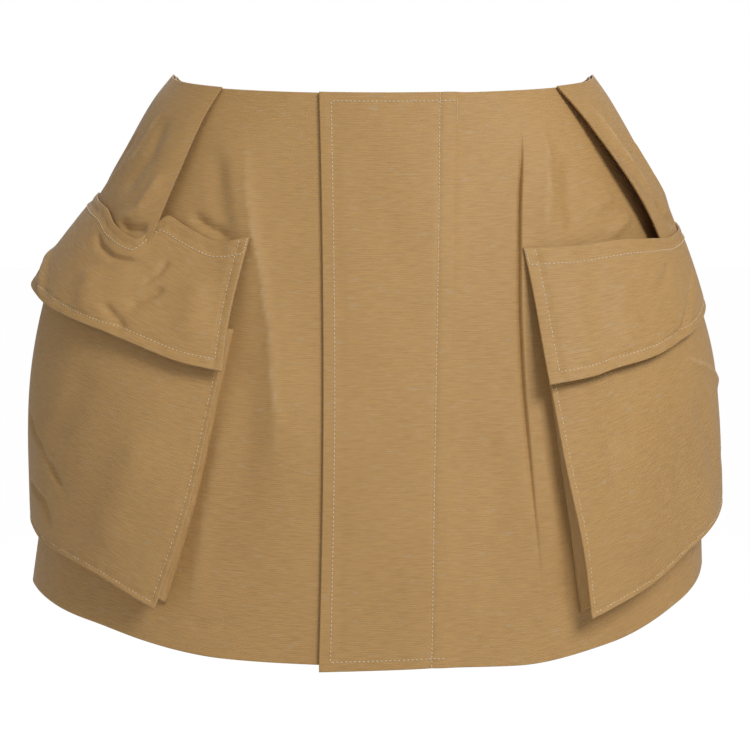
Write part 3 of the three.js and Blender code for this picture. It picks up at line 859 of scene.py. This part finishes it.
def make_lamps():
    for lamp in LAMPS:
        data = bpy.data.lights.new(lamp["name"], "AREA")
        data.size = lamp["size"]
        data.energy = lamp["watts"]
        light = bpy.data.objects.new(lamp["name"], data)
        light.location = lamp["place"]
        aim = Vector((0, 0, -0.18)) - light.location
        light.rotation_euler = aim.to_track_quat("-Z", "Y").to_euler()
        bpy.context.scene.collection.objects.link(light)


def make_world():
    world = bpy.data.worlds.new("studio")
    world.use_nodes = True
    bpy.context.scene.world = world
    tree = world.node_tree
    tree.nodes.clear()
    path = tree.nodes.new("ShaderNodeLightPath")
    light = tree.nodes.new("ShaderNodeBackground")
    light.inputs["Strength"].default_value = 0.40
    white = tree.nodes.new("ShaderNodeBackground")
    white.inputs["Color"].default_value = (1, 1, 1, 1)
    mix = tree.nodes.new("ShaderNodeMixShader")
    tree.links.new(path.outputs["Is Camera Ray"], mix.inputs[0])
    tree.links.new(light.outputs[0], mix.inputs[1])
    tree.links.new(white.outputs[0], mix.inputs[2])
    output = tree.nodes.new("ShaderNodeOutputWorld")
    tree.links.new(mix.outputs[0], output.inputs[0])


def make_floor():
    nodes = NodeTree("studio_floor")
    path = nodes.node("ShaderNodeLightPath")
    lit = nodes.node("ShaderNodeBsdfDiffuse", {"Color": (0.85, 0.85, 0.85, 1)})
    white = nodes.node("ShaderNodeEmission", {"Color": (1, 1, 1, 1), "Strength": 1.07})
    share = nodes.math("MULTIPLY", path.outputs["Is Camera Ray"], 0.9)
    mix = nodes.node("ShaderNodeMixShader", {0: share, 1: lit.outputs[0], 2: white.outputs[0]})
    nodes.node("ShaderNodeOutputMaterial", {"Surface": mix.outputs[0]})
    half = 12.0
    corners = [(-half, -half, FLOOR_Z), (half, -half, FLOOR_Z), (half, half, FLOOR_Z), (-half, half, FLOOR_Z)]
    mesh = bpy.data.meshes.new("floor")
    mesh.from_pydata(corners, [], [(0, 1, 2, 3)])
    mesh.materials.append(nodes.material)
    floor = bpy.data.objects.new("floor", mesh)
    bpy.context.scene.collection.objects.link(floor)


# ---- The skirt ---------------------------------------------------------------------------------


# "apart" is from the fly's free edge to its far row of stitches.
FLY_ROWS = {"apart": 72.0, "top_inset": 5.5, "low_inset": 6.0, "tack_past_ridge": 0.004}

# Rough width and height of the hip's pieces, which set their grids and where their seams run.
HIP_SIZES = {"pleat": (140, 115), "pocket": (190, 175), "flap": (195, 82)}
FLAP_BAND = 10.5        # from a flap's top edge to the row of stitches under it


def make_fronts(twill, thread):
    rows = spaced(LENGTH, 2.6)
    right = cloth_piece("front_right", front_right_place, spaced(330, 2.6), rows, twill)
    left_columns = spaced(345, 2.4, marks=LEFT_STATIONS[1:4])
    left = cloth_piece("front_left", front_left_place, left_columns, rows, twill)

    stitches = StitchMesh()
    row_u = LEFT_STATIONS[1]
    ridge_u = LEFT_STATIONS[2]
    edge_u = FLY_RELIEF["edge_row_inset"] / FLY_ROWS["apart"] * row_u
    top_v = FLY_ROWS["top_inset"] / LENGTH
    low_v = 1 - FLY_ROWS["low_inset"] / LENGTH
    tack_u = ridge_u + FLY_ROWS["tack_past_ridge"]
    rows_sewn = [
        {"start": (edge_u, top_v), "end": (edge_u, low_v), "samples": 160, "sizes": STITCH},
        {"start": (row_u, 0.0), "end": (row_u, 1.0), "samples": 160, "sizes": STITCH},
        {"start": (edge_u, top_v), "end": (ridge_u, top_v), "samples": 80, "sizes": STITCH},
        {"start": (edge_u, low_v), "end": (ridge_u, low_v), "samples": 80, "sizes": STITCH},
        {"start": (tack_u, 0.012), "end": (tack_u, 0.055), "samples": 20, "sizes": BAR_TACK},
    ]
    for row in rows_sewn:
        sewn_line(stitches, "front_left", front_left_place, **row)
    stitches.build("stitches_fly", thread)


def make_back(twill):
    back = cloth_piece("back", back_place, spaced(560, 3.2), spaced(LENGTH, 3.0), twill)


def hip_stitches(name, flap_place, pocket_place, thread):
    stitches = StitchMesh()
    flap_width, flap_height = HIP_SIZES["flap"]
    pocket_width, pocket_height = HIP_SIZES["pocket"]
    front = HEM_INSET / flap_width
    band = FLAP_BAND / flap_height
    low = 1 - HEM_INSET / flap_height
    edge = FACE_INSET / pocket_width
    base = 1 - FACE_INSET / pocket_height
    flap_rows = [
        {"start": (front, 0.01), "end": (front, low), "samples": 160, "sizes": STITCH},
        {"start": (front, low), "end": (0.98, low), "samples": 260, "sizes": STITCH},
        {"start": (0.008, band), "end": (0.98, band), "samples": 260, "sizes": STITCH},
        {"start": (0.006, 0.01), "end": (0.006, band), "samples": 20, "sizes": CORNER_WHIP},
    ]
    pocket_rows = [
        {"start": (edge, 0.02), "end": (edge, base), "samples": 200},
        {"start": (edge, base), "end": (1 - edge, base), "samples": 260},
        {"start": (1 - edge, 0.02), "end": (1 - edge, base), "samples": 200},
    ]
    for row in flap_rows:
        sewn_line(stitches, f"pocket_flap_{name}", flap_place, **row)
    for row in pocket_rows:
        sewn_line(stitches, f"pocket_face_{name}", pocket_place, **row)
    stitches.build(f"stitches_hip_{name}", thread)


def make_hip(name, side, twill, thread):
    pleat_place = patch_place(PLEATS[name], side)
    flap_place = seam_dents(patch_place(FLAPS[name], side), *HIP_SIZES["flap"], ("front", "low", "top"))
    pocket_place = patch_place(POCKETS[name], side)
    pocket_place = seam_dents(pocket_place, *HIP_SIZES["pocket"], ("front", "low"), FACE_DIP_INSET)

    def turned(place):
        """Columns run towards larger angles, so the right hip's pieces start at their rear edge."""
        if side > 0:
            return place
        return lambda u, v: place(1 - u, v)

    def piece(kind, place, size, step, thickness=CLOTH):
        columns = spaced(size[0], step)
        rows = spaced(size[1], step)
        return cloth_piece(f"{kind}_{name}", turned(place), columns, rows, twill, thickness)

    pleat = piece("hip_pleat", pleat_place, HIP_SIZES["pleat"], 2.2)
    pocket = piece("pocket_face", pocket_place, HIP_SIZES["pocket"], 2.2)
    flap = piece("pocket_flap", flap_place, HIP_SIZES["flap"], 1.8, FLAP_CLOTH)
    points = gusset_points(patch_place(POCKETS[name], side))
    if side > 0:
        points = points[:, ::-1]
    gusset = shell(f"pocket_gusset_{name}", points, twill, thickness=GUSSET_CLOTH)
    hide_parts(f"pocket_gusset_{name}")
    hip_stitches(name, flap_place, pocket_place, thread)


def make_skirt():
    twill = twill_material()
    thread = thread_material()
    make_fronts(twill, thread)
    make_back(twill)
    for name, side in (("right", -1), ("left", 1)):
        make_hip(name, side, twill, thread)


make_camera()
make_lamps()
make_world()
make_floor()
make_skirt()
bpy.context.scene.view_settings.view_transform = "Standard"
